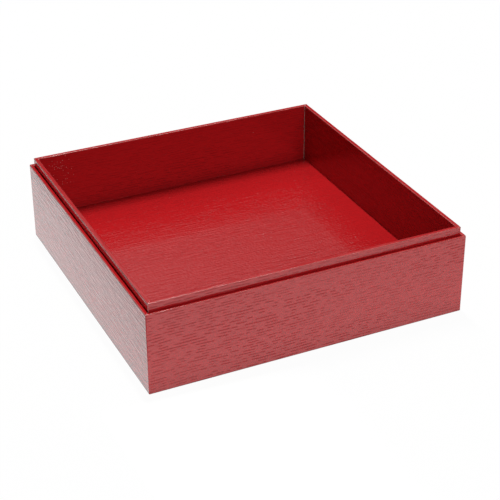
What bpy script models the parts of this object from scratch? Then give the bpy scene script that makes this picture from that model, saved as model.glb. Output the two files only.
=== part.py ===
"""Body of a square paper jubako, one tier, without its lid.

A frame of grey board, covered with red paper, makes the outer wall. A tray of grey board is glued
inside it, its floor well above the table, and its rim stands above the frame as a collar. The lid, or
the next tier, slides over the collar and rests on the ledge round it. The frame reaches below the tray
as a skirt that takes the collar of the tier underneath.

Metres, +Z up. The origin is the centre of the base, on the surface that the box stands on. The front is -Y.
"""

import math

import bmesh
import bpy

# Driving sizes of the whole
SIDE = 0.195  # outside of the frame, both ways
WALL_HEIGHT = 0.050  # from the table to the ledge
COLLAR_RISE = 0.005  # rim of the tray above the ledge
FLOOR_HEIGHT = 0.016  # top of the floor lining above the table

# Thickness of each material
OUTER_BOARD = 0.0014
TRAY_BOARD = 0.0018
FLOOR_BOARD = 0.0020
PAPER = 0.0002
TAPE = 0.0001

# Clearances
PASTE = 0.00005  # glue between a sheet and what it covers
BOARD_JOINT = 0.0001  # glue between two boards
NEST_CLEARANCE = 0.0003  # collar to skirt, on each side, and tray to frame
LINING_TRIM = 0.0005  # floor lining to the covered walls

# Folds, turn-ins and cuts of the covering paper
FOLD_INSIDE = 0.0001  # radius inside a fold, less where the glue leaves the board's corner no room
FOLD_SEGMENTS = 3
FOLD_ANGLE = math.radians(45)  # sharper edges than this are rounded as folds
LEDGE_TURN_IN = 0.012  # down the frame's inner face
SKIRT_TURN_IN = 0.0125  # up the skirt's inner face
FLOOR_TURN_IN = 0.008  # onto the floor board, under the lining
BASE_TURN_IN = 0.012  # under the tray, above the base sheet
CORNER_SLIT = 0.0003  # cut that lets the turn-ins fold at a corner
SEAM_GAP = 0.0003  # between the two ends of the outer strip
SEAM_FROM_CORNER = 0.010  # on the back wall, from its left end
BASE_SHEET_MARGIN = 0.0025  # base sheet to the tray's outer face

# Corner stays
STAY_LEG = 0.012
STAY_END_MARGIN = 0.001  # stay to the top and bottom of the board

# Walls, from the outside in, as distances from the centre
FRAME_OUT = SIDE / 2
STAY_LINE = TAPE + 2 * PASTE  # room for the stays under a strip
OUTER_BOARD_OUT = FRAME_OUT - PAPER - STAY_LINE
OUTER_BOARD_IN = OUTER_BOARD_OUT - OUTER_BOARD
SKIRT_IN = OUTER_BOARD_IN - PASTE - PAPER
COLLAR_OUT = SKIRT_IN - NEST_CLEARANCE
TRAY_BOARD_OUT = COLLAR_OUT - PAPER - STAY_LINE
TRAY_BOARD_IN = TRAY_BOARD_OUT - TRAY_BOARD
TRAY_IN = TRAY_BOARD_IN - PASTE - PAPER

# Heights of the layers, from the lining down
RIM_TOP = WALL_HEIGHT + COLLAR_RISE
FLOOR_FLANGE_TOP = FLOOR_HEIGHT - PAPER - PASTE
FLOOR_BOARD_TOP = FLOOR_FLANGE_TOP - PAPER - PASTE
FLOOR_BOARD_BOTTOM = FLOOR_BOARD_TOP - FLOOR_BOARD
TRAY_BOTTOM = FLOOR_BOARD_BOTTOM - PASTE - PAPER
BASE_SHEET_TOP = TRAY_BOTTOM - PASTE

FOLD_RADIUS = PAPER + min(FOLD_INSIDE, 2 * PASTE)
CUT_SPARE = 0.005  # how far a cutter reaches past what it cuts
WELD = 0.00001  # points closer than this are one

# Colours in linear light
BOARD_GREY = (0.33, 0.31, 0.27)
TAPE_BROWN = (0.42, 0.27, 0.14)
EMBOSSED_RED = (0.20, 0.008, 0.010)
PLAIN_RED = (0.16, 0.010, 0.012)

CORNERS = {
    "front_left": (-1, -1),
    "front_right": (1, -1),
    "back_right": (1, 1),
    "back_left": (-1, 1),
}


def clear_scene():
    for obj in list(bpy.data.objects):
        bpy.data.objects.remove(obj, do_unlink=True)


def new_collection(name, helpers=False):
    collection = bpy.data.collections.new(name)
    collection.hide_render = helpers
    bpy.context.scene.collection.children.link(collection)
    return collection


def new_material(name, colour, roughness, coat=0.0):
    """A plain finish: colour, roughness and the weight of a clear film over it."""
    material = bpy.data.materials.new(name)
    material.use_nodes = True
    shader = material.node_tree.nodes["Principled BSDF"]
    shader.inputs["Base Color"].default_value = (*colour, 1.0)
    shader.inputs["Roughness"].default_value = roughness
    shader.inputs["Metallic"].default_value = 0.0
    shader.inputs["Coat Weight"].default_value = coat
    material.diffuse_color = (*colour, 1.0)
    return material


def new_empty(name, collection):
    empty = bpy.data.objects.new(name, None)
    empty.empty_display_size = SIDE / 4
    collection.objects.link(empty)
    return empty


def add_object(name, form, material, parent, collection):
    """Turns a finished bmesh into an object of the collection, carried by its parent."""
    mesh = bpy.data.meshes.new(name)
    form.to_mesh(mesh)
    form.free()
    if material:
        mesh.materials.append(material)
    obj = bpy.data.objects.new(name, mesh)
    obj.parent = parent
    collection.objects.link(obj)
    return obj


def box_form(length, depth, height):
    """A box round the origin, from a unit cube."""
    form = bmesh.new()
    bmesh.ops.create_cube(form, size=1.0)
    bmesh.ops.scale(form, vec=(length, depth, height), verts=form.verts)
    return form


def add_sheet(name, half, bottom, thickness, material, parent, collection):
    """A square board or sheet that lies flat, centred, with its underside at the given height."""
    form = box_form(2 * half, 2 * half, thickness)
    sheet = add_object(name, form, material, parent, collection)
    sheet.location.z = bottom + thickness / 2


def add_walls(prefix, outside, inside, bottom, top, material, parent, collection):
    """Four boards on edge. Front and back run the full width, and left and right stand between them."""
    thickness = outside - inside
    middle = (outside + inside) / 2
    height = top - bottom
    long_side = 2 * outside
    short_side = 2 * (inside - BOARD_JOINT)
    walls = {
        "front": (long_side, (0, -middle), 0),
        "back": (long_side, (0, middle), 0),
        "left": (short_side, (-middle, 0), math.pi / 2),
        "right": (short_side, (middle, 0), math.pi / 2),
    }
    for side, (length, (x, y), turn) in walls.items():
        form = box_form(length, thickness, height)
        board = add_object(f"{prefix}_{side}", form, material, parent, collection)
        board.location = (x, y, (bottom + top) / 2)
        board.rotation_euler.z = turn


def add_stays(prefix, board_out, bottom, top, material, parent, collection):
    """Tape bent round each corner of the boards, from an open angle with Solidify."""
    inner_face = board_out + PASTE
    for corner, (x, y) in CORNERS.items():
        form = bmesh.new()
        tip = form.verts.new((inner_face * x, inner_face * y, bottom))
        along_x = form.verts.new(((inner_face - STAY_LEG) * x, inner_face * y, bottom))
        along_y = form.verts.new((inner_face * x, (inner_face - STAY_LEG) * y, bottom))
        legs = [form.edges.new((along_x, tip)), form.edges.new((tip, along_y))]
        raised = bmesh.ops.extrude_edge_only(form, edges=legs)["geom"]
        upper = [item for item in raised if isinstance(item, bmesh.types.BMVert)]
        bmesh.ops.translate(form, vec=(0, 0, top - bottom), verts=upper)
        point_outwards(form)
        stay = add_object(f"{prefix}_{corner}", form, material, parent, collection)
        thicken(stay, TAPE, offset=1.0)


def point_outwards(form):
    """Turns every upright face of an open surface away from the box's axis."""
    form.normal_update()
    for face in form.faces:
        centre = face.calc_center_median()
        if face.normal.x * centre.x + face.normal.y * centre.y < 0:
            face.normal_flip()


def thicken(obj, thickness, offset):
    solidify = obj.modifiers.new("thickness", "SOLIDIFY")
    solidify.thickness = thickness
    solidify.offset = offset
    solidify.use_even_offset = True
    solidify.use_quality_normals = True


def add_folded_strip(name, profile, material, parent, collection):
    """Paper folded along level lines and round the four corners of the box.

    The profile is the strip's outer surface as (distance from the centre, height) points. A Screw of four
    steps takes it round the square, its points set out along the diagonal, so that every corner is a true
    mitre. The folds are rounded while the strip has no thickness, and the thickness then goes inwards.
    """
    form = bmesh.new()
    points = [form.verts.new((math.sqrt(2) * half, 0, height)) for half, height in profile]
    for first, second in zip(points, points[1:]):
        form.edges.new((first, second))
    strip = add_object(name, form, material, parent, collection)
    strip.rotation_euler.z = math.pi / 4
    turn = strip.modifiers.new("round_the_box", "SCREW")
    turn.angle = 2 * math.pi
    turn.steps = 4
    turn.render_steps = 4
    turn.use_merge_vertices = True
    turn.merge_threshold = WELD
    turn.use_smooth_shade = False
    folds = strip.modifiers.new("folds", "BEVEL")
    folds.width = FOLD_RADIUS
    folds.segments = FOLD_SEGMENTS
    folds.limit_method = "ANGLE"
    folds.angle_limit = FOLD_ANGLE
    folds.use_clamp_overlap = False
    thicken(strip, PAPER, offset=-1.0)
    return strip


def cut(obj, cutter):
    difference = obj.modifiers.new(cutter.name, "BOOLEAN")
    difference.operation = "DIFFERENCE"
    difference.solver = "EXACT"
    difference.object = cutter


def add_cutter(name, form, location, turn, collection):
    cutter = add_object(name, form, None, None, collection)
    cutter.location = location
    cutter.rotation_euler.z = turn
    cutter.hide_render = True
    cutter.display_type = "WIRE"
    return cutter


def slit_corners(strip, label, start, end, bottom, top, collection):
    """Cuts the turn-ins along each diagonal, between two distances from the centre and two heights."""
    length = math.sqrt(2) * (end - start)
    middle = (start + end) / 2
    for corner, (x, y) in CORNERS.items():
        form = box_form(length, CORNER_SLIT, top - bottom)
        place = (middle * x, middle * y, (bottom + top) / 2)
        name = f"{strip.name}_{label}_slit_{corner}"
        cut(strip, add_cutter(name, form, place, math.atan2(y, x), collection))


def build_outer_frame(parts, cutters, grey_board, tape, red_paper):
    frame = new_empty("outer_frame", parts)
    board_bottom = PAPER + PASTE
    board_top = WALL_HEIGHT - PAPER - PASTE
    add_walls(
        "outer_board", OUTER_BOARD_OUT, OUTER_BOARD_IN, board_bottom, board_top, grey_board, frame, parts
    )
    stay_bottom = board_bottom + STAY_END_MARGIN
    stay_top = board_top - STAY_END_MARGIN
    add_stays("outer_stay", OUTER_BOARD_OUT, stay_bottom, stay_top, tape, frame, parts)

    profile = [
        (SKIRT_IN, WALL_HEIGHT - LEDGE_TURN_IN),
        (SKIRT_IN, WALL_HEIGHT),
        (FRAME_OUT, WALL_HEIGHT),
        (FRAME_OUT, 0),
        (SKIRT_IN, 0),
        (SKIRT_IN, SKIRT_TURN_IN),
    ]
    wrap = add_folded_strip("outer_wrap", profile, red_paper, frame, parts)
    slit_end = OUTER_BOARD_OUT - OUTER_BOARD / 2
    slit_start = SKIRT_IN - CUT_SPARE
    half_way = WALL_HEIGHT / 2
    slit_corners(wrap, "ledge", slit_start, slit_end, half_way, WALL_HEIGHT + CUT_SPARE, cutters)
    slit_corners(wrap, "skirt", slit_start, slit_end, -CUT_SPARE, half_way, cutters)

    depth = FRAME_OUT - SKIRT_IN + 2 * CUT_SPARE
    form = box_form(SEAM_GAP, depth, WALL_HEIGHT + 2 * CUT_SPARE)
    place = (SEAM_FROM_CORNER - FRAME_OUT, (FRAME_OUT + SKIRT_IN) / 2, WALL_HEIGHT / 2)
    cut(wrap, add_cutter("outer_wrap_seam", form, place, 0, cutters))


def build_tray(parts, cutters, grey_board, tape, red_paper, base_paper):
    tray = new_empty("inner_tray", parts)
    board_top = RIM_TOP - PAPER - PASTE
    add_walls(
        "tray_board", TRAY_BOARD_OUT, TRAY_BOARD_IN, FLOOR_BOARD_BOTTOM, board_top, grey_board, tray, parts
    )
    stay_bottom = FLOOR_BOARD_BOTTOM + STAY_END_MARGIN
    stay_top = board_top - STAY_END_MARGIN
    add_stays("tray_stay", TRAY_BOARD_OUT, stay_bottom, stay_top, tape, tray, parts)
    floor_half = TRAY_BOARD_IN - BOARD_JOINT
    add_sheet("tray_floor_board", floor_half, FLOOR_BOARD_BOTTOM, FLOOR_BOARD, grey_board, tray, parts)

    profile = [
        (TRAY_IN - FLOOR_TURN_IN, FLOOR_FLANGE_TOP),
        (TRAY_IN, FLOOR_FLANGE_TOP),
        (TRAY_IN, RIM_TOP),
        (COLLAR_OUT, RIM_TOP),
        (COLLAR_OUT, TRAY_BOTTOM),
        (COLLAR_OUT - BASE_TURN_IN, TRAY_BOTTOM),
    ]
    wrap = add_folded_strip("tray_wrap", profile, red_paper, tray, parts)
    slit_end = TRAY_BOARD_OUT - TRAY_BOARD / 2
    slit_start = TRAY_IN - FLOOR_TURN_IN - CUT_SPARE
    in_floor = (FLOOR_BOARD_TOP + FLOOR_BOARD_BOTTOM) / 2
    slit_corners(wrap, "inside", slit_start, slit_end, in_floor, RIM_TOP + CUT_SPARE, cutters)
    base_slit_start = COLLAR_OUT - BASE_TURN_IN - CUT_SPARE
    slit_corners(wrap, "base", base_slit_start, slit_end, TRAY_BOTTOM - CUT_SPARE, in_floor, cutters)

    lining_half = TRAY_IN - LINING_TRIM
    add_sheet("floor_lining", lining_half, FLOOR_HEIGHT - PAPER, PAPER, red_paper, tray, parts)
    base_half = COLLAR_OUT - BASE_SHEET_MARGIN
    add_sheet("base_sheet", base_half, BASE_SHEET_TOP - PAPER, PAPER, base_paper, tray, parts)


def main():
    clear_scene()
    parts = new_collection("paper_jubako_body")
    cutters = new_collection("cutters", helpers=True)
    grey_board = new_material("grey_board", BOARD_GREY, roughness=0.9)
    tape = new_material("kraft_tape", TAPE_BROWN, roughness=0.7)
    red_paper = new_material("embossed_red_paper", EMBOSSED_RED, roughness=0.3, coat=0.5)
    base_paper = new_material("plain_red_paper", PLAIN_RED, roughness=0.6)
    build_outer_frame(parts, cutters, grey_board, tape, red_paper)
    build_tray(parts, cutters, grey_board, tape, red_paper, base_paper)


main()
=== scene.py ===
"""Body of a square paper jubako, one tier, dressed as in the photograph.

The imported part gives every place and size. The red paper is made anew over it as three folded
sheets: a strip round the outer frame, a strip over the tray's rim and down its inside, and a lining
on the floor. Each has rounded folds, slit corners and cut edges that show the paper's pale core.
The boards, tapes and base sheet are the part's own pieces with new finishes.

Metres, +Z up, the front is -Y.
"""

import math

import bmesh
import bpy
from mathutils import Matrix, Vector


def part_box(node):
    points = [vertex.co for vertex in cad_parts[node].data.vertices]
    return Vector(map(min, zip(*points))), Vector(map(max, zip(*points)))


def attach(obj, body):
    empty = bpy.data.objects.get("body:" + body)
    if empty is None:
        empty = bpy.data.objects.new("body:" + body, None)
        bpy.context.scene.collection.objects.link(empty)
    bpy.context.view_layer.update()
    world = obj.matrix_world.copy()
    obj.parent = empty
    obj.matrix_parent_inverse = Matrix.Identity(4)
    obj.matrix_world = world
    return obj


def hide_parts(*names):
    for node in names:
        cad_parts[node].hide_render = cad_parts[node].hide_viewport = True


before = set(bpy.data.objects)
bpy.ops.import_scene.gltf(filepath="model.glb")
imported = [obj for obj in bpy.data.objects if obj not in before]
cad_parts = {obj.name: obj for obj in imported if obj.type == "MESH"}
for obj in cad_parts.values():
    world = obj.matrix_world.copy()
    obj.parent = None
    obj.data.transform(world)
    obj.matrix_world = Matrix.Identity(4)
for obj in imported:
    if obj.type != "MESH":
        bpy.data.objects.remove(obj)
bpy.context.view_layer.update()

bl_info = {
    "name": "Paper jubako body",
    "version": (1, 0, 0),
    "blender": (4, 5, 0),
    "location": "3D View > Sidebar > Jubako",
    "description": "Dresses the packed body of a paper jubako with embossed red paper",
    "category": "Add Mesh",
}

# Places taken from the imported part, as distances from the centre and heights
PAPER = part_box("floor_lining")[1].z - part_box("floor_lining")[0].z
FRAME_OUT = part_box("outer_wrap")[1].x
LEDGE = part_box("outer_wrap")[1].z
COLLAR_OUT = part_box("tray_wrap")[1].x
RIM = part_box("tray_wrap")[1].z
TRAY_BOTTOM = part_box("tray_wrap")[0].z
LINING_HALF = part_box("floor_lining")[1].x
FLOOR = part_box("floor_lining")[1].z
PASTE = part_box("outer_board_front")[0].z - PAPER
SKIRT_IN = -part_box("outer_board_front")[1].y - PASTE - PAPER
TRAY_IN = -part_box("tray_board_front")[1].y - PASTE - PAPER
FLOOR_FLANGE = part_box("floor_lining")[0].z - PASTE

# The part's pieces that keep their shape
BOXES = ("outer", "tray")
SIDES = ("front", "back", "left", "right")
CORNERS = ("front_left", "front_right", "back_left", "back_right")
GREY_BOARDS = [f"{box}_board_{side}" for box in BOXES for side in SIDES] + ["tray_floor_board"]
CORNER_TAPES = [f"{box}_stay_{corner}" for box in BOXES for corner in CORNERS]

FRONT, RIGHT, BACK, LEFT = range(4)  # the walls, in the order in which a strip runs round the box
SAME_PLACE = 1e-7  # points closer than this are one
CORNER_SLACK = 1e-6  # by which an upright inner corner may miss its distance
SHEET_UV = "sheet"  # the unfolded sheet, in metres: along the box and across the strip

# Cut edges at the corners, in fold radii from the outer corner. Slits are cut up to the first and
# drawn open up to the second, so their ends stay closed.
SLIT_END = 0.95
OPEN_END = 1.02

# Where each sheet lies in the paper's pattern
OUTER_OFFSET = 0.55
TRAY_OFFSET = 1.7
LINING_OFFSET = 3.0

# The emboss. Its patches of noise are given per metre, as along the grain and across it.
SLOW_SWAY = (10.0, 30.0)
QUICK_SWAY = (90.0, 200.0)
QUICK_SWAY_REACH = 0.1  # share of the slow one's
ROW_START = 0.25  # in row pitches, from the bottom of a ripple to where its sine begins
DASH_LIMITS = (0.56, 0.46)  # noise at which a pore begins, and at which it is full
DASH_ROW_STEP = 7.3  # sets the dashes of one row apart from those of the next
CREST = (0.1, 0.9)  # of the sine, where a row's pores lie
CROWDED = (9.0, 40.0)
CROWDED_LIMITS = (0.4, 0.6)
SPARSE_PORE = 0.55  # strength of the pores outside the crowded places
RIPPLE_ALONG = 80.0
RIPPLES_PER_ROW = 1.15
SWELL_ALONG = 60.0
SWELL_LIMITS = (0.3, 0.6)
TOOTH = (650.0, 750.0)
WAVE_DEPTH, RIPPLE_DEPTH, PORE_DEPTH = 0.06, 0.8, 0.09  # shares of the emboss's depth

# Pale folds and cut edges on the paper, as distances from the centre and heights. On the folds this
# is partly worn film and partly painted highlight.
WORN_AND_HIGHLIT_FOLDS = ((FRAME_OUT, LEDGE), (COLLAR_OUT, RIM), (TRAY_IN, RIM), (FRAME_OUT, 0.0))
FOLD_REACH = 0.0005
WEAR_AND_HIGHLIGHT_PATCHES = 160.0  # per metre
WEAR_AND_HIGHLIGHT_CONTRAST, WEAR_AND_HIGHLIGHT_LEAST = 0.8, 0.6  # of the patches
SLIT_REACH = 0.0002
INNER_SLIT_REACH = 0.0005
SLITS = (  # from, to, above, reach
    (TRAY_IN - 0.0003, TRAY_IN + SLIT_REACH, FLOOR, INNER_SLIT_REACH),
    (TRAY_IN + SLIT_REACH, COLLAR_OUT, FLOOR, SLIT_REACH),
    (SKIRT_IN - SLIT_REACH, FRAME_OUT - SLIT_REACH, LEDGE - SLIT_REACH, SLIT_REACH),
)
SLIT_PALENESS = 0.7

# Specks of dust, and painted glints on the inner back wall near the left corner: pale specks that
# stand in for highlights of the emboss
SPECKS = 900.0  # per metre
SPECK_EDGE = (0.3, 0.15)  # in speck distances
SPECK_PALENESS = 0.28
PAINTED_GLINTS_AT = (-0.083, TRAY_IN, 0.043)
PAINTED_GLINTS_REACH = (0.018, 0.006)
PAINTED_GLINTS_BACK = TRAY_IN + 0.001  # none behind this, on the outer wall

# The film and the print under it
FILM_INDEX = 1.5
PRINT_INDEX = 1.38
# Painted shade: a pore's colour is darkened, as if shade fell in it
PORE_SHADE, PORE_TONE = 0.35, 0.4  # colour at the bottom of a pore, and how much of it shows
RIPPLE_ROUGHNESS, PORE_ROUGHNESS = 0.12, 0.15
GLOSS_LOSS_FACING = (0.9, 0.35)  # seen flatter than the first, a pore keeps all its gloss

# Uncoated paper and board. Tones are a share of the colour and what is added to it.
FIBRE_TURNS = (0.4, 1.9)
FIBRE_STRETCH = (1.0, 6.0, 6.0)
FIBRE_LIMITS = (0.58, 0.72)
FIBRE_TONE = (1.5, 0.05)
FIBRE_RELIEF = 0.00003
MOTTLE_LIMITS = (0.3, 0.7)
DARK_TONE = (0.72, 0.0)
LIGHT_TONE = (1.25, 0.02)
MOTTLE_ROUGHNESS, LESS_ROUGH = 0.15, 0.07

# The finishes of the embossed paper, with the setting for the paper's tooth
FILMED_FINISHES = {"filmed_red_strip": "strip_tooth", "filmed_red_lining": "lining_tooth"}
# The plain ones: setting for the colour, roughness, share of pale fibres, fibres per metre
PLAIN_FINISHES = {
    "paper_core": ("core", 0.85, 0.2, 900.0),
    "base_paper": ("base_red", 0.6, 0.15, 500.0),
    "board_pulp": ("board", 0.9, 0.5, 350.0),
    "kraft_paper": ("tape", 0.6, 0.4, 450.0),
}

CAMERA_PLACE = (-0.31302, -0.68218, 0.44253)
CAMERA_TURN = (60.3108, 0.2245, -25.3359)  # degrees about X, Y and Z
CAMERA_RANGE = (0.01, 50.0)
SENSOR = 36.0  # millimetres

TABLE_HALF = 6.0
TABLE_MATT = 0.03  # share of the table's look that takes light and shadow
# The table as the paper's gloss mirrors it: a glow with painted light and shade, dark far to the
# left, lit from near the box's left side and dimmer from the box's front on
LIT_FROM = (-0.133, -0.1255)  # along X: dark up to the first, lit from the second
LIT_SLOPE = -0.5  # per metre to the right
DIM_FROM = (-0.11, -0.095)  # along Y: brightest up to the first
DIM_SHARE = 0.09  # missing from the second on

# The bright wall that the gloss mirrors behind the box: directions where it begins and is full
WALL_LEFT = (-0.25, 0.2)
WALL_RIGHT = (0.8, 0.1)
WALL_BEHIND = (0.0, 0.4)
WALL_UP = (0.4, 0.7)
ROOM_GLOSS = 0.3  # share of the room light that the gloss mirrors


class JubakoFolds(bpy.types.PropertyGroup):
    """Folds, slits and turn-ins of the covering paper."""

    fold_radius: bpy.props.FloatProperty(
        name="Fold radius",
        description="Outside radius of every fold",
        default=0.00045,
        unit="LENGTH",
        precision=5,
    )
    fold_steps: bpy.props.IntProperty(
        name="Fold steps",
        description="Faces across a fold",
        default=6,
        min=2,
    )
    mitre_opening: bpy.props.FloatProperty(
        name="Mitre opening",
        description="Half the gap of a mitred corner at its inner end",
        default=0.00008,
        unit="LENGTH",
        precision=5,
    )
    inner_opening: bpy.props.FloatProperty(
        name="Inner corner opening",
        description="How far the paper stops short of an upright inner corner",
        default=0.00018,
        unit="LENGTH",
        precision=5,
    )
    ledge_turn_in: bpy.props.FloatProperty(
        name="Ledge turn-in",
        description="Paper down the frame's inner face",
        default=0.012,
        unit="LENGTH",
    )
    skirt_turn_in: bpy.props.FloatProperty(
        name="Skirt turn-in",
        description="Paper up the skirt's inner face",
        default=0.0125,
        unit="LENGTH",
    )
    floor_turn_in: bpy.props.FloatProperty(
        name="Floor turn-in",
        description="Paper onto the floor board, under the lining",
        default=0.008,
        unit="LENGTH",
    )
    base_turn_in: bpy.props.FloatProperty(
        name="Base turn-in",
        description="Paper under the tray, above the base sheet",
        default=0.012,
        unit="LENGTH",
    )
    seam_from_corner: bpy.props.FloatProperty(
        name="Seam from corner",
        description="Seam of the outer strip on the back wall",
        default=0.010,
        unit="LENGTH",
    )
    seam_gap: bpy.props.FloatProperty(
        name="Seam gap",
        description="Between the two ends of the outer strip",
        default=0.0003,
        unit="LENGTH",
        precision=5,
    )


class JubakoPaper(bpy.types.PropertyGroup):
    """Colours and shine of the papers and the board."""

    red: bpy.props.FloatVectorProperty(
        name="Red",
        description="Printed colour of the paper",
        subtype="COLOR",
        size=3,
        default=(0.40, 0.0094, 0.0120),
    )
    film_roughness: bpy.props.FloatProperty(
        name="Film roughness",
        description="Of the clear film on the paper",
        default=0.11,
        subtype="FACTOR",
    )
    print_roughness: bpy.props.FloatProperty(
        name="Print roughness",
        description="Of the print under the film",
        default=0.15,
        subtype="FACTOR",
    )
    core: bpy.props.FloatVectorProperty(
        name="Core",
        description="Cut edge and back of the paper",
        subtype="COLOR",
        size=3,
        default=(0.72, 0.66, 0.62),
    )
    base_red: bpy.props.FloatVectorProperty(
        name="Base red",
        description="Plain paper under the tray",
        subtype="COLOR",
        size=3,
        default=(0.36, 0.014, 0.016),
    )
    board: bpy.props.FloatVectorProperty(
        name="Board",
        description="Bare grey board",
        subtype="COLOR",
        size=3,
        default=(0.33, 0.31, 0.27),
    )
    tape: bpy.props.FloatVectorProperty(
        name="Tape",
        description="Kraft tape at the corners",
        subtype="COLOR",
        size=3,
        default=(0.42, 0.27, 0.14),
    )
    # Paleness of the fold crests: partly whitened film, partly painted highlight
    wear_and_highlight: bpy.props.FloatProperty(
        name="Fold wear",
        description="How far the film has whitened on the folds",
        default=0.2,
        subtype="FACTOR",
    )
    dust: bpy.props.FloatProperty(
        name="Dust",
        description="Share of the pale specks that show",
        default=0.0002,
        precision=5,
        subtype="FACTOR",
    )
    # Painted glints: pale specks that stand in for highlights of the emboss
    painted_glints: bpy.props.FloatProperty(
        name="Glints",
        description="Share of them added in the back left corner",
        default=0.35,
        subtype="FACTOR",
    )


class JubakoGrain(bpy.types.PropertyGroup):
    """The wood grain embossed in the paper."""

    row_pitch: bpy.props.FloatProperty(
        name="Row pitch",
        description="Distance between the rows of pores",
        default=0.0017,
        unit="LENGTH",
        precision=5,
    )
    pore_length: bpy.props.FloatProperty(
        name="Pore length",
        description="Length of a pore and the gap after it",
        default=0.006,
        unit="LENGTH",
        precision=5,
    )
    wander: bpy.props.FloatProperty(
        name="Wander",
        description="How far the rows wander sideways",
        default=0.004,
        unit="LENGTH",
    )
    depth: bpy.props.FloatProperty(
        name="Depth",
        description="Depth of the emboss",
        default=0.00024,
        unit="LENGTH",
        precision=6,
    )
    strip_tooth: bpy.props.FloatProperty(
        name="Strip tooth",
        description="Fine tooth of the paper on the walls, as a share of the depth",
        default=0.2,
        subtype="FACTOR",
    )
    lining_tooth: bpy.props.FloatProperty(
        name="Lining tooth",
        description="The same on the floor, where the paper isn't pulled tight",
        default=0.9,
        subtype="FACTOR",
    )
    gloss_loss: bpy.props.FloatProperty(
        name="Gloss loss",
        description="Share of the film's gloss missing in a pore",
        default=1.0,
        subtype="FACTOR",
    )


class JubakoStage(bpy.types.PropertyGroup):
    """Camera, lamps and floor."""

    lens: bpy.props.FloatProperty(
        name="Lens",
        description="Focal length of the camera",
        default=102.56,
        subtype="DISTANCE_CAMERA",
    )
    top: bpy.props.FloatProperty(
        name="Top lamp",
        description="Power of the softbox overhead, a little behind the box",
        default=41,
        unit="POWER",
    )
    far: bpy.props.FloatProperty(
        name="Far lamp",
        description="Power of the dimmer softbox behind the top one",
        default=14.3,
        unit="POWER",
    )
    front: bpy.props.FloatProperty(
        name="Front lamp",
        description="Power of the softbox behind the camera",
        default=14.3,
        unit="POWER",
    )
    edges: bpy.props.FloatProperty(
        name="Edge lamps",
        description="Power of the panels that only glint in the paper's folds",
        default=0.7,
        unit="POWER",
    )
    glow: bpy.props.FloatProperty(
        name="Table glow",
        description="Power of the flat light panel that the box stands on",
        default=0.15,
        unit="POWER",
    )
    room: bpy.props.FloatProperty(
        name="Room light",
        description="Soft light from all sides",
        default=0.0144,
    )
    backdrop: bpy.props.FloatProperty(
        name="Backdrop",
        description="How bright the wall behind the box looks in the paper's gloss",
        default=1.33,
    )
    floor: bpy.props.FloatVectorProperty(
        name="Floor",
        description="Colour of the table",
        subtype="COLOR",
        size=3,
        default=(0.72, 0.72, 0.72),
    )


def settings_of(name):
    """A group of settings of the current scene."""
    return getattr(bpy.context.scene, name)


# Shader nodes


def add_node(tree, kind, inputs=None, **settings):
    """A node with its settings, and each named or numbered input set to a value or a socket."""
    node = tree.nodes.new(kind)
    for name, setting in settings.items():
        setattr(node, name, setting)
    for key, value in (inputs or {}).items():
        if isinstance(value, bpy.types.NodeSocket):
            tree.links.new(value, node.inputs[key])
        else:
            node.inputs[key].default_value = value
    return node


def maths(tree, operation, *values, clamp=False):
    inputs = dict(enumerate(values))
    return add_node(tree, "ShaderNodeMath", inputs, operation=operation, use_clamp=clamp).outputs[0]


def chain(tree, operation, first, *others):
    """The values joined one after another by the same operation."""
    for value in others:
        first = maths(tree, operation, first, value)
    return first


def fade(tree, value, limits):
    """0 at the first limit, 1 at the second, smooth between them."""
    inputs = {"Value": value, "From Min": limits[0], "From Max": limits[1]}
    node = add_node(tree, "ShaderNodeMapRange", inputs, interpolation_type="SMOOTHSTEP")
    return node.outputs["Result"]


def noise(tree, vector, scale=1.0, detail=2.0, roughness=0.5, dimensions="3D"):
    inputs = {"Vector": vector, "Scale": scale, "Detail": detail, "Roughness": roughness}
    return add_node(tree, "ShaderNodeTexNoise", inputs, noise_dimensions=dimensions).outputs["Fac"]


def split(tree, vector):
    return add_node(tree, "ShaderNodeSeparateXYZ", {0: vector}).outputs


def object_place(tree):
    return add_node(tree, "ShaderNodeTexCoord").outputs["Object"]


def mix_colour(tree, share, first, second):
    inputs = {"Factor": share, 6: first, 7: second}
    return add_node(tree, "ShaderNodeMix", inputs, data_type="RGBA").outputs[2]


def toned(colour, share=1.0, lift=0.0):
    """An opaque colour, darker or lighter than the given one."""
    return (*(min(1.0, channel * share + lift) for channel in colour), 1.0)


def new_group(name, inputs, outputs):
    """A shader node group with its sockets, and the sockets inside it by name."""
    group = bpy.data.node_groups.new(name, "ShaderNodeTree")
    for label in inputs:
        kind = "Vector" if label in ("Sheet", "Place") else "Float"
        group.interface.new_socket(label, in_out="INPUT", socket_type=f"NodeSocket{kind}")
    for label in outputs:
        group.interface.new_socket(label, in_out="OUTPUT", socket_type="NodeSocketFloat")
    given = group.nodes.new("NodeGroupInput").outputs
    result = group.nodes.new("NodeGroupOutput").inputs
    return group, given, result


def use_group(tree, name, **inputs):
    """Places a group in a material. Input names have underscores here for their spaces."""
    node = tree.nodes.new("ShaderNodeGroup")
    node.node_tree = bpy.data.node_groups.get(name) or GROUP_BUILDERS[name](name)
    for label, value in inputs.items():
        socket = node.inputs[label.replace("_", " ")]
        if isinstance(value, bpy.types.NodeSocket):
            tree.links.new(value, socket)
        else:
            socket.default_value = value
    return node.outputs


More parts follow.
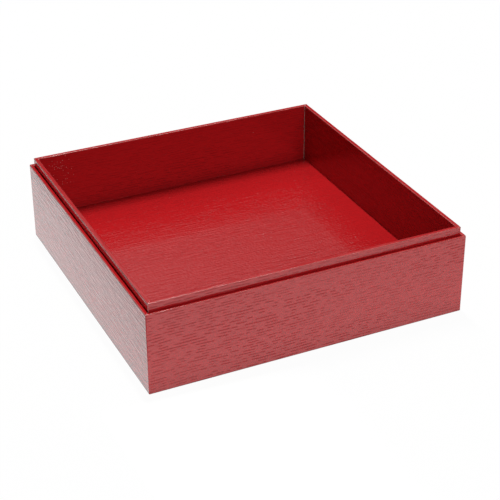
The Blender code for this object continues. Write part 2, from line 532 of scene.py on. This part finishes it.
def build_wood_grain(name):
    """Rows of short pores and the ripple of wood, pressed into a sheet that is laid flat."""
    inputs = ("Sheet", "Row Pitch", "Pore Length", "Wander", "Tooth")
    group, given, result = new_group(name, inputs, ("Pore", "Ripple", "Height"))
    along, across, _ = split(group, given["Sheet"])

    def flat_noise(x, y, detail=1.0):
        place = add_node(group, "ShaderNodeCombineXYZ", {0: x, 1: y}).outputs[0]
        return noise(group, place, detail=detail, dimensions="2D")

    def spread(patches, line, detail=1.0):
        """Noise with so many patches per metre along the grain, and across it on the line."""
        x = maths(group, "MULTIPLY", along, patches[0])
        y = maths(group, "MULTIPLY", line, patches[1])
        return flat_noise(x, y, detail)

    def shifted(line, patches, reach):
        sway = maths(group, "SUBTRACT", spread(patches, across), 0.5)
        return maths(group, "ADD", line, maths(group, "MULTIPLY", sway, reach))

    line = shifted(across, SLOW_SWAY, given["Wander"])
    quick_reach = maths(group, "MULTIPLY", given["Wander"], QUICK_SWAY_REACH)
    line = shifted(line, QUICK_SWAY, quick_reach)
    rows = maths(group, "DIVIDE", line, given["Row Pitch"])
    wave = maths(group, "SINE", maths(group, "MULTIPLY", rows, 2 * math.pi))
    row = maths(group, "FLOOR", maths(group, "ADD", rows, ROW_START))
    pores = maths(group, "DIVIDE", 1.0, given["Pore Length"])
    dashes = flat_noise(
        maths(group, "MULTIPLY", along, pores),
        maths(group, "MULTIPLY", row, DASH_ROW_STEP),
    )
    crowd = fade(group, spread(CROWDED, line), CROWDED_LIMITS)
    pore = chain(
        group,
        "MULTIPLY",
        fade(group, wave, CREST),
        fade(group, dashes, DASH_LIMITS),
        maths(group, "MULTIPLY_ADD", crowd, 1 - SPARSE_PORE, SPARSE_PORE),
    )
    per_row = maths(group, "DIVIDE", 1.0, given["Row Pitch"])
    ripples = maths(group, "MULTIPLY", per_row, RIPPLES_PER_ROW)
    ripple = spread((RIPPLE_ALONG, ripples), line, detail=0.0)
    swell = fade(group, spread((SWELL_ALONG, per_row), line), SWELL_LIMITS)
    height = chain(
        group,
        "ADD",
        chain(group, "MULTIPLY", wave, swell, -WAVE_DEPTH),
        maths(group, "MULTIPLY", ripple, RIPPLE_DEPTH),
        maths(group, "MULTIPLY", spread(TOOTH, across), given["Tooth"]),
        maths(group, "MULTIPLY", pore, -PORE_DEPTH),
    )
    group.links.new(pore, result["Pore"])
    group.links.new(ripple, result["Ripple"])
    group.links.new(height, result["Height"])
    return group


def split_place(group, vector):
    """Distance from the box's axis, distance from the nearest diagonal, and height of a point."""
    x, y, z = split(group, vector)
    x = maths(group, "ABSOLUTE", x)
    y = maths(group, "ABSOLUTE", y)
    half = maths(group, "MAXIMUM", x, y)
    diagonal = maths(group, "ABSOLUTE", maths(group, "SUBTRACT", x, y))
    return half, diagonal, z


def build_fold_band(name):
    """1 on the crest of a level fold round the box, 0 beyond the reach."""
    inputs = ("Place", "Half", "Height", "Reach")
    group, given, result = new_group(name, inputs, ("Band", "Corner"))
    half, diagonal, height = split_place(group, given["Place"])
    out = maths(group, "SUBTRACT", half, given["Half"])
    up = maths(group, "SUBTRACT", height, given["Height"])
    squares = [maths(group, "POWER", step, 2.0) for step in (out, up)]
    away = maths(group, "SQRT", maths(group, "ADD", *squares))
    band = fade(group, away, (given["Reach"], 0.0))
    corner = maths(group, "MULTIPLY", band, fade(group, diagonal, (given["Reach"], 0.0)))
    group.links.new(band, result["Band"])
    group.links.new(corner, result["Corner"])
    return group


def build_cut_band(name):
    """1 along a corner's slit, from one distance to another above a height, 0 past the reach."""
    inputs = ("Place", "From", "To", "Above", "Reach")
    group, given, result = new_group(name, inputs, ("Band",))
    half, diagonal, height = split_place(group, given["Place"])
    band = chain(
        group,
        "MULTIPLY",
        fade(group, diagonal, (given["Reach"], 0.0)),
        maths(group, "GREATER_THAN", half, given["From"]),
        maths(group, "LESS_THAN", half, given["To"]),
        maths(group, "GREATER_THAN", height, given["Above"]),
    )
    group.links.new(band, result["Band"])
    return group


def build_specks(name):
    """Sparse small round specks: dust, and painted glints that stand in for highlights of the
    emboss.
    """
    group, given, result = new_group(name, ("Place", "Scale", "Share"), ("Speck",))
    inputs = {"Vector": given["Place"], "Scale": given["Scale"]}
    cells = add_node(group, "ShaderNodeTexVoronoi", inputs).outputs
    dot = fade(group, cells["Distance"], SPECK_EDGE)
    chance = add_node(group, "ShaderNodeSeparateColor", {0: cells["Color"]}).outputs[0]
    shown = maths(group, "LESS_THAN", chance, given["Share"])
    group.links.new(maths(group, "MULTIPLY", dot, shown), result["Speck"])
    return group


def build_fibres(name):
    """Short crossed fibres and soft mottling of uncoated paper or board."""
    group, given, result = new_group(name, ("Place", "Scale"), ("Mottle", "Fibre"))
    mottle = noise(group, given["Place"], given["Scale"], detail=4.0, roughness=0.65)
    turned = []
    for angle in FIBRE_TURNS:
        turn = (angle, angle / 2, angle)
        inputs = {"Vector": given["Place"], "Rotation": turn, "Scale": FIBRE_STRETCH}
        lines = add_node(group, "ShaderNodeMapping", inputs).outputs[0]
        turned.append(noise(group, lines, given["Scale"], detail=1.0))
    fibre = fade(group, maths(group, "MAXIMUM", *turned), FIBRE_LIMITS)
    group.links.new(mottle, result["Mottle"])
    group.links.new(fibre, result["Fibre"])
    return group


GROUP_BUILDERS = {
    "wood_grain": build_wood_grain,
    "fold_band": build_fold_band,
    "cut_band": build_cut_band,
    "specks": build_specks,
    "fibres": build_fibres,
}


def new_material(name):
    material = bpy.data.materials.new(name)
    material.use_nodes = True
    tree = material.node_tree
    return material, tree, tree.nodes["Principled BSDF"]


def add_bump(tree, shader, height, distance):
    inputs = {"Height": height, "Distance": distance, "Strength": 1.0}
    bump = add_node(tree, "ShaderNodeBump", inputs)
    tree.links.new(bump.outputs[0], shader.inputs["Normal"])


def pale_core_wear_and_highlights(tree, place, paper):
    """How pale the paper is painted: on fold crests and corners, partly worn film and partly
    painted highlight; along slits, where the core shows; in specks of dust; and in painted glints.
    """
    patches = noise(tree, place, WEAR_AND_HIGHLIGHT_PATCHES, detail=3.0)
    patches = maths(tree, "MULTIPLY_ADD", patches, WEAR_AND_HIGHLIGHT_CONTRAST, WEAR_AND_HIGHLIGHT_LEAST)
    shares = []
    # Fold crests paled towards the core colour: partly worn film, partly painted highlight
    for half, level in WORN_AND_HIGHLIT_FOLDS:
        band, corner = use_group(
            tree, "fold_band", Place=place, Half=half, Height=level, Reach=FOLD_REACH
        )
        shares += [chain(tree, "MULTIPLY", band, patches, paper.wear_and_highlight), corner]
    for start, end, above, reach in SLITS:
        band = use_group(
            tree, "cut_band", Place=place, From=start, To=end, Above=above, Reach=reach
        )[0]
        shares.append(maths(tree, "MULTIPLY", band, SLIT_PALENESS))

    # Painted highlight: pale glints of the emboss near the back left corner of the inner back wall
    away = add_node(tree, "ShaderNodeVectorMath", {0: place, 1: PAINTED_GLINTS_AT}, operation="DISTANCE")
    near = fade(tree, away.outputs["Value"], PAINTED_GLINTS_REACH)
    inside = maths(tree, "LESS_THAN", split(tree, place)[1], PAINTED_GLINTS_BACK)
    near = maths(tree, "MULTIPLY", near, inside)
    shown = maths(tree, "MULTIPLY_ADD", near, paper.painted_glints, paper.dust)
    speck = use_group(tree, "specks", Place=place, Scale=SPECKS, Share=shown)[0]
    shares.append(maths(tree, "MULTIPLY", speck, SPECK_PALENESS))
    return chain(tree, "MAXIMUM", *shares)


def build_filmed_red_paper(name, tooth):
    """Red paper under a clear glossy film, with a wood grain pressed through both."""
    paper, grain = settings_of("jubako_paper"), settings_of("jubako_grain")
    material, tree, shader = new_material(name)
    pore, ripple, height = use_group(
        tree,
        "wood_grain",
        Sheet=add_node(tree, "ShaderNodeUVMap", uv_map=SHEET_UV).outputs[0],
        Row_Pitch=grain.row_pitch,
        Pore_Length=grain.pore_length,
        Wander=grain.wander,
        Tooth=tooth,
    )

    # Painted shade: the pores are coloured darker
    dark = maths(tree, "MULTIPLY", pore, PORE_TONE)
    colour = mix_colour(tree, dark, toned(paper.red), toned(paper.red, PORE_SHADE))
    # Paled towards the core colour: real on cut edges and in dust, partly worn film and partly
    # painted highlight on folds, and painted glints
    core = pale_core_wear_and_highlights(tree, object_place(tree), paper)
    colour = mix_colour(tree, core, colour, toned(paper.core))
    tree.links.new(colour, shader.inputs["Base Color"])

    lowest = paper.print_roughness - RIPPLE_ROUGHNESS / 2
    rough = maths(tree, "MULTIPLY_ADD", ripple, RIPPLE_ROUGHNESS, lowest)
    rough = maths(tree, "ADD", rough, maths(tree, "MULTIPLY", pore, PORE_ROUGHNESS))
    tree.links.new(rough, shader.inputs["Roughness"])

    facing = tree.nodes.new("ShaderNodeLayerWeight").outputs["Facing"]
    loss = chain(tree, "MULTIPLY", pore, fade(tree, facing, GLOSS_LOSS_FACING), grain.gloss_loss)
    gloss = maths(tree, "SUBTRACT", 1.0, loss, clamp=True)
    tree.links.new(gloss, shader.inputs["Coat Weight"])
    shader.inputs["Coat Roughness"].default_value = paper.film_roughness
    shader.inputs["Coat IOR"].default_value = FILM_INDEX
    shader.inputs["IOR"].default_value = PRINT_INDEX
    add_bump(tree, shader, height, grain.depth)
    return material


def build_plain_paper(name, colour, roughness, fibre_share, scale):
    """Uncoated paper or board: fibres, mottling and a slight tooth."""
    material, tree, shader = new_material(name)
    mottle, fibre = use_group(tree, "fibres", Place=object_place(tree), Scale=scale)
    light = fade(tree, mottle, MOTTLE_LIMITS)
    base = mix_colour(tree, light, toned(colour, *DARK_TONE), toned(colour, *LIGHT_TONE))
    pale = maths(tree, "MULTIPLY", fibre, fibre_share)
    base = mix_colour(tree, pale, base, toned(colour, *FIBRE_TONE))
    tree.links.new(base, shader.inputs["Base Color"])
    rough = maths(tree, "MULTIPLY_ADD", mottle, MOTTLE_ROUGHNESS, roughness - LESS_ROUGH)
    tree.links.new(rough, shader.inputs["Roughness"])
    add_bump(tree, shader, maths(tree, "ADD", mottle, fibre), FIBRE_RELIEF)
    return material


def material_for(name):
    """The named finish, made when it is first needed. The part's own materials have other names."""
    made = bpy.data.materials.get(name)
    if made:
        return made
    if name in FILMED_FINISHES:
        tooth = getattr(settings_of("jubako_grain"), FILMED_FINISHES[name])
        return build_filmed_red_paper(name, tooth)
    colour, roughness, fibre_share, scale = PLAIN_FINISHES[name]
    colour = getattr(settings_of("jubako_paper"), colour)
    return build_plain_paper(name, colour, roughness, fibre_share, scale)


# Folded sheets


def wall_of(point):
    """The wall that a point is on."""
    if abs(point.y) >= abs(point.x):
        return FRONT if point.y < 0 else BACK
    return RIGHT if point.x > 0 else LEFT


def across_profile(profile, half, height):
    """Length along the folded profile to the point of it that is nearest to the given one."""
    best, walked = None, 0.0
    point = Vector((half, height))
    for start, end in zip(profile, profile[1:]):
        start, end = Vector(start), Vector(end)
        step = end - start
        share = min(1.0, max(0.0, (point - start).dot(step) / step.length_squared))
        away = (start + step * share - point).length
        if best is None or away < best[0]:
            best = (away, walked + share * step.length)
        walked += step.length
    return best[1]


def map_sheet(form, profile, offset):
    """Lays the strip out flat in the sheet's UV map, in metres."""
    layer = form.loops.layers.uv.new(SHEET_UV)
    length = 2 * FRAME_OUT
    for face in form.faces:
        wall = wall_of(face.calc_center_median())
        for loop in face.loops:
            x, y, z = loop.vert.co
            along = {FRONT: x, RIGHT: y, BACK: -x, LEFT: -y}[wall]
            half = abs(y) if wall in (FRONT, BACK) else abs(x)
            across = across_profile(profile, half, z)
            loop[layer].uv = (offset + wall * length + along, across + offset)


def on_diagonal(edge):
    """Whether the edge lies in the upright plane through the box's axis and a corner."""
    first, second = (vert.co for vert in edge.verts)
    level = all(abs(abs(point.x) - abs(point.y)) < SAME_PLACE for point in (first, second))
    return level and first.x * second.x > 0 and first.y * second.y > 0


def fold_strip(profile, outer_corner, folds):
    """A strip of paper as an open surface, folded along the profile and round the four corners.

    The profile is the paper's outer side as (distance from the centre, height) points. The upright
    edges at the distance outer_corner are rounded like the folds. The other corners are slit, as
    the turned-in paper is cut there.
    """
    form = bmesh.new()
    points = [form.verts.new((half, half, height)) for half, height in profile]
    edges = [form.edges.new(pair) for pair in zip(points, points[1:])]
    bmesh.ops.spin(
        form,
        geom=points + edges,
        cent=(0.0, 0.0, 0.0),
        axis=(0.0, 0.0, 1.0),
        angle=2 * math.pi,
        steps=4,
        use_merge=True,
    )
    bmesh.ops.remove_doubles(form, verts=form.verts, dist=SAME_PLACE)
    bmesh.ops.recalc_face_normals(form, faces=form.faces)
    outer = max(form.faces, key=lambda face: abs(face.calc_center_median().x))
    if outer.normal.dot(outer.calc_center_median()) < 0:
        bmesh.ops.reverse_faces(form, faces=form.faces)

    def at_outer_corner(edge):
        return all(abs(abs(vert.co.x) - outer_corner) < SAME_PLACE for vert in edge.verts)

    creases = [edge for edge in form.edges if not edge.is_boundary and not on_diagonal(edge)]
    uprights = [edge for edge in form.edges if on_diagonal(edge) and at_outer_corner(edge)]
    bmesh.ops.bevel(
        form,
        geom=creases + uprights,
        offset=folds.fold_radius,
        offset_type="OFFSET",
        segments=folds.fold_steps,
        profile=0.5,
        affect="EDGES",
        clamp_overlap=False,
        material=-1,
        loop_slide=True,
    )
    limit = outer_corner - folds.fold_radius * SLIT_END
    slits = [
        edge
        for edge in form.edges
        if on_diagonal(edge) and all(abs(vert.co.x) < limit for vert in edge.verts)
    ]
    bmesh.ops.split_edges(form, edges=slits)
    return form


def open_slits(form, inner, outer_corner, folds):
    """Draws the cut edges back along their walls, most at the upright inner corners."""
    limit = outer_corner - folds.fold_radius * OPEN_END
    for vert in form.verts:
        x, y = abs(vert.co.x), abs(vert.co.y)
        if not vert.is_boundary or abs(x - y) > SAME_PLACE or x > limit:
            continue
        share = min(1.0, (limit - x) / (limit - inner))
        at_inner_corner = x <= inner + CORNER_SLACK
        back = folds.inner_opening if at_inner_corner else folds.mitre_opening * share
        wall = wall_of(sum((face.calc_center_median() for face in vert.link_faces), Vector()))
        axis = 0 if wall in (FRONT, BACK) else 1
        vert.co[axis] -= math.copysign(back, vert.co[axis])


def cut_seam(form, place, gap):
    """Parts the strip on its back wall, across the given place along X."""

    def back_faces():
        return [face for face in form.faces if wall_of(face.calc_center_median()) == BACK]

    for cut in (place - gap / 2, place + gap / 2):
        faces = back_faces()
        edges = dict.fromkeys(edge for face in faces for edge in face.edges)
        verts = dict.fromkeys(vert for face in faces for vert in face.verts)
        bmesh.ops.bisect_plane(
            form,
            geom=[*verts, *edges, *faces],
            plane_co=(cut, 0.0, 0.0),
            plane_no=(1.0, 0.0, 0.0),
            dist=1e-8,
        )
    between = [face for face in back_faces() if abs(face.calc_center_median().x - place) < gap / 2]
    bmesh.ops.delete(form, geom=between, context="FACES")


def finish_sheet(name, form, replaces, finish="filmed_red_strip"):
    """Makes the sheet's object: paper with thickness, pale on its back and cut edges."""
    for face in form.faces:
        face.smooth = True
    mesh = bpy.data.meshes.new(name)
    form.to_mesh(mesh)
    form.free()
    mesh.materials.append(material_for(finish))
    mesh.materials.append(material_for("paper_core"))
    piece = bpy.data.objects.new(name, mesh)
    bpy.context.scene.collection.objects.link(piece)
    solid = piece.modifiers.new("paper_thickness", "SOLIDIFY")
    solid.thickness = PAPER
    solid.offset = -1.0
    solid.use_even_offset = True
    solid.use_quality_normals = True
    solid.material_offset = 1
    solid.material_offset_rim = 1
    shade = piece.modifiers.new("flat_walls", "WEIGHTED_NORMAL")
    shade.mode = "FACE_AREA"
    shade.weight = 100
    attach(piece, "root")
    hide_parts(replaces)


class JUBAKO_OT_outer_cover(bpy.types.Operator):
    """Cover the outer frame with a strip of embossed paper, over the ledge and under the skirt"""

    bl_idname = "jubako.outer_cover"
    bl_label = "Outer cover"

    def execute(self, context):
        folds = context.scene.jubako_folds
        profile = [
            (SKIRT_IN, LEDGE - folds.ledge_turn_in),
            (SKIRT_IN, LEDGE),
            (FRAME_OUT, LEDGE),
            (FRAME_OUT, 0.0),
            (SKIRT_IN, 0.0),
            (SKIRT_IN, folds.skirt_turn_in),
        ]
        form = fold_strip(profile, FRAME_OUT, folds)
        cut_seam(form, folds.seam_from_corner - FRAME_OUT, folds.seam_gap)
        map_sheet(form, profile, OUTER_OFFSET)
        open_slits(form, SKIRT_IN, FRAME_OUT, folds)
        finish_sheet("outer_cover", form, "outer_wrap")
        return {"FINISHED"}


class JUBAKO_OT_tray_cover(bpy.types.Operator):
    """Cover the tray with a strip of embossed paper, over the collar's rim and down the inside"""

    bl_idname = "jubako.tray_cover"
    bl_label = "Tray cover"

    def execute(self, context):
        folds = context.scene.jubako_folds
        profile = [
            (TRAY_IN - folds.floor_turn_in, FLOOR_FLANGE),
            (TRAY_IN, FLOOR_FLANGE),
            (TRAY_IN, RIM),
            (COLLAR_OUT, RIM),
            (COLLAR_OUT, TRAY_BOTTOM),
            (COLLAR_OUT - folds.base_turn_in, TRAY_BOTTOM),
        ]
        form = fold_strip(profile, COLLAR_OUT, folds)
        map_sheet(form, profile, TRAY_OFFSET)
        open_slits(form, TRAY_IN, COLLAR_OUT, folds)
        finish_sheet("tray_cover", form, "tray_wrap")
        return {"FINISHED"}


class JUBAKO_OT_floor_lining(bpy.types.Operator):
    """Line the tray's floor with a sheet of embossed paper, its grain along the front"""

    bl_idname = "jubako.floor_lining"
    bl_label = "Floor lining"

    def execute(self, context):
        form = bmesh.new()
        bmesh.ops.create_grid(form, x_segments=1, y_segments=1, size=LINING_HALF)
        bmesh.ops.translate(form, vec=(0.0, 0.0, FLOOR), verts=form.verts)
        layer = form.loops.layers.uv.new(SHEET_UV)
        for face in form.faces:
            for loop in face.loops:
                x, y, _ = loop.vert.co
                loop[layer].uv = (x + LINING_OFFSET, y + LINING_OFFSET)
        finish_sheet("floor_sheet", form, "floor_lining", "filmed_red_lining")
        return {"FINISHED"}


def dress(nodes, finish):
    """Gives the part's own pieces a finish."""
    for node in nodes:
        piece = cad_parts[node]
        piece.data.materials.clear()
        piece.data.materials.append(material_for(finish))


class JUBAKO_OT_boards(bpy.types.Operator):
    """Give the grey boards of the frame and the tray their finish"""

    bl_idname = "jubako.boards"
    bl_label = "Grey boards"

    def execute(self, context):
        dress(GREY_BOARDS, "board_pulp")
        return {"FINISHED"}


class JUBAKO_OT_tapes(bpy.types.Operator):
    """Give the corner tapes their finish"""

    bl_idname = "jubako.tapes"
    bl_label = "Corner tapes"

    def execute(self, context):
        dress(CORNER_TAPES, "kraft_paper")
        return {"FINISHED"}


class JUBAKO_OT_base_sheet(bpy.types.Operator):
    """Give the sheet under the tray its finish"""

    bl_idname = "jubako.base_sheet"
    bl_label = "Base sheet"

    def execute(self, context):
        dress(["base_sheet"], "base_paper")
        return {"FINISHED"}


# Stage


def add_camera(stage):
    camera = bpy.data.objects.new("camera", bpy.data.cameras.new("camera"))
    camera.data.sensor_width = SENSOR
    camera.data.lens = stage.lens
    camera.data.clip_start, camera.data.clip_end = CAMERA_RANGE
    camera.location = CAMERA_PLACE
    camera.rotation_euler = [math.radians(angle) for angle in CAMERA_TURN]
    bpy.context.scene.collection.objects.link(camera)
    bpy.context.scene.camera = camera


def add_lamp(name, power, place, target, size, reflected=False, lights=True):
    """A rectangular softbox at a place, facing a target. The camera doesn't see it."""
    light = bpy.data.lights.new(name, "AREA")
    light.shape = "RECTANGLE"
    light.size, light.size_y = size
    light.energy = power
    lamp = bpy.data.objects.new(name, light)
    lamp.location = place
    facing = Vector(target) - Vector(place)
    lamp.rotation_euler = facing.to_track_quat("-Z", "Y").to_euler()
    lamp.visible_camera = False
    lamp.visible_glossy = reflected
    lamp.visible_diffuse = lights
    bpy.context.scene.collection.objects.link(lamp)


def add_lamps(stage):
    """Three softboxes, two panels that only glint in the folds, and the table's own light."""
    add_lamp(
        "top_lamp",
        stage.top,
        place=(0.09, 0.495, 1.99),
        target=(0.09, 0.495, 0.0),
        size=(0.1, 0.6),
    )
    add_lamp(
        "far_lamp",
        stage.far,
        place=(0.09, 1.285, 1.99),
        target=(0.0, 0.0, 0.0),
        size=(0.1, 0.975),
    )
    add_lamp(
        "front_lamp",
        stage.front,
        place=(-0.03, -1.6, 0.78),
        target=(0.0, 0.0, 0.02),
        size=(0.9, 0.9),
    )
    add_lamp(
        "near_edge_lamp",
        stage.edges,
        place=(0.11, 0.09, 0.7),
        target=(0.11, 0.09, 0.0),
        size=(0.08, 0.16),
        reflected=True,
        lights=False,
    )
    add_lamp(
        "side_edge_lamp",
        stage.edges,
        place=(0.24, 0.25, 0.7),
        target=(0.24, 0.25, 0.0),
        size=(0.16, 0.168),
        reflected=True,
        lights=False,
    )
    add_lamp(
        "table_glow",
        stage.glow,
        place=(0.0, 0.0, 0.0005),
        target=(0.0, 0.0, 1.0),
        size=(0.32, 0.32),
    )


def build_table_material(stage):
    """A pale table. The camera sees it white with a faint shadow; the gloss sees a glow with
    painted light and shade, like a lit panel.
    """
    material = bpy.data.materials.new("table")
    material.use_nodes = True
    tree = material.node_tree
    tree.nodes.clear()
    ray = add_node(tree, "ShaderNodeLightPath").outputs
    x, y, _ = split(tree, object_place(tree))
    # Painted light and shade: the glow that the gloss sees
    lit = chain(
        tree,
        "MULTIPLY",
        fade(tree, x, LIT_FROM),
        maths(tree, "MULTIPLY_ADD", x, LIT_SLOPE, 1.0),
        maths(tree, "MULTIPLY_ADD", fade(tree, y, DIM_FROM), -DIM_SHARE, 1.0),
    )
    strength = maths(tree, "MAXIMUM", ray["Is Camera Ray"], lit)
    white = add_node(tree, "ShaderNodeEmission", {"Strength": strength}).outputs[0]
    matt = add_node(tree, "ShaderNodeBsdfDiffuse", {"Color": toned(stage.floor)}).outputs[0]
    share = chain(
        tree,
        "MAXIMUM",
        maths(tree, "MULTIPLY", ray["Is Camera Ray"], 1 - TABLE_MATT),
        ray["Is Glossy Ray"],
        ray["Is Transmission Ray"],
    )
    mixed = add_node(tree, "ShaderNodeMixShader", {0: share, 1: matt, 2: white}).outputs[0]
    add_node(tree, "ShaderNodeOutputMaterial", {"Surface": mixed})
    return material


def build_world(stage):
    """Soft room light. The camera sees white, and the gloss a bright wall behind a dim room."""
    world = bpy.data.worlds.new("room")
    world.use_nodes = True
    bpy.context.scene.world = world
    tree = world.node_tree
    tree.nodes.clear()
    ray = add_node(tree, "ShaderNodeLightPath").outputs
    x, y, z = split(tree, add_node(tree, "ShaderNodeTexCoord").outputs["Generated"])
    wall = chain(
        tree,
        "MULTIPLY",
        fade(tree, x, WALL_LEFT),
        fade(tree, x, WALL_RIGHT),
        fade(tree, y, WALL_BEHIND),
        fade(tree, z, WALL_UP),
        stage.backdrop,
    )
    gloss = maths(tree, "SUBTRACT", wall, stage.room * (1 - ROOM_GLOSS))
    gloss = maths(tree, "MULTIPLY", ray["Is Glossy Ray"], gloss)
    strength = maths(tree, "ADD", gloss, stage.room)
    strength = maths(tree, "MAXIMUM", strength, ray["Is Camera Ray"])
    inputs = {"Color": (1.0, 1.0, 1.0, 1.0), "Strength": strength}
    room = add_node(tree, "ShaderNodeBackground", inputs).outputs[0]
    add_node(tree, "ShaderNodeOutputWorld", {"Surface": room})


def add_table(stage):
    form = bmesh.new()
    bmesh.ops.create_grid(form, x_segments=1, y_segments=1, size=TABLE_HALF)
    mesh = bpy.data.meshes.new("table")
    form.to_mesh(mesh)
    form.free()
    mesh.materials.append(build_table_material(stage))
    table = bpy.data.objects.new("table", mesh)
    bpy.context.scene.collection.objects.link(table)


class JUBAKO_OT_stage(bpy.types.Operator):
    """Set up the camera, the lamps, the room light and the table"""

    bl_idname = "jubako.stage"
    bl_label = "Stage"

    def execute(self, context):
        stage = context.scene.jubako_stage
        add_camera(stage)
        add_lamps(stage)
        build_world(stage)
        add_table(stage)
        context.scene.view_settings.view_transform = "Standard"
        return {"FINISHED"}


STEPS = (
    JUBAKO_OT_outer_cover,
    JUBAKO_OT_tray_cover,
    JUBAKO_OT_floor_lining,
    JUBAKO_OT_boards,
    JUBAKO_OT_tapes,
    JUBAKO_OT_base_sheet,
    JUBAKO_OT_stage,
)
SETTINGS = {
    "jubako_folds": JubakoFolds,
    "jubako_paper": JubakoPaper,
    "jubako_grain": JubakoGrain,
    "jubako_stage": JubakoStage,
}


class JUBAKO_PT_panel(bpy.types.Panel):
    """The settings of the jubako body, and the steps that dress it, in order"""

    bl_idname = "JUBAKO_PT_panel"
    bl_label = "Jubako"
    bl_space_type = "VIEW_3D"
    bl_region_type = "UI"
    bl_category = "Jubako"

    def draw(self, context):
        for name, settings in SETTINGS.items():
            box = self.layout.box()
            for setting in settings.__annotations__:
                box.prop(getattr(context.scene, name), setting)
        for step in STEPS:
            self.layout.operator(step.bl_idname)


def register():
    for settings in SETTINGS.values():
        bpy.utils.register_class(settings)
    for name, settings in SETTINGS.items():
        setattr(bpy.types.Scene, name, bpy.props.PointerProperty(type=settings))
    for step in (*STEPS, JUBAKO_PT_panel):
        bpy.utils.register_class(step)


def unregister():
    for step in reversed((*STEPS, JUBAKO_PT_panel)):
        bpy.utils.unregister_class(step)
    for name, settings in reversed(SETTINGS.items()):
        delattr(bpy.types.Scene, name)
        bpy.utils.unregister_class(settings)


def main():
    register()
    bpy.ops.jubako.outer_cover()
    bpy.ops.jubako.tray_cover()
    bpy.ops.jubako.floor_lining()
    bpy.ops.jubako.boards()
    bpy.ops.jubako.tapes()
    bpy.ops.jubako.base_sheet()
    bpy.ops.jubako.stage()


if __name__ == "__main__":
    main()
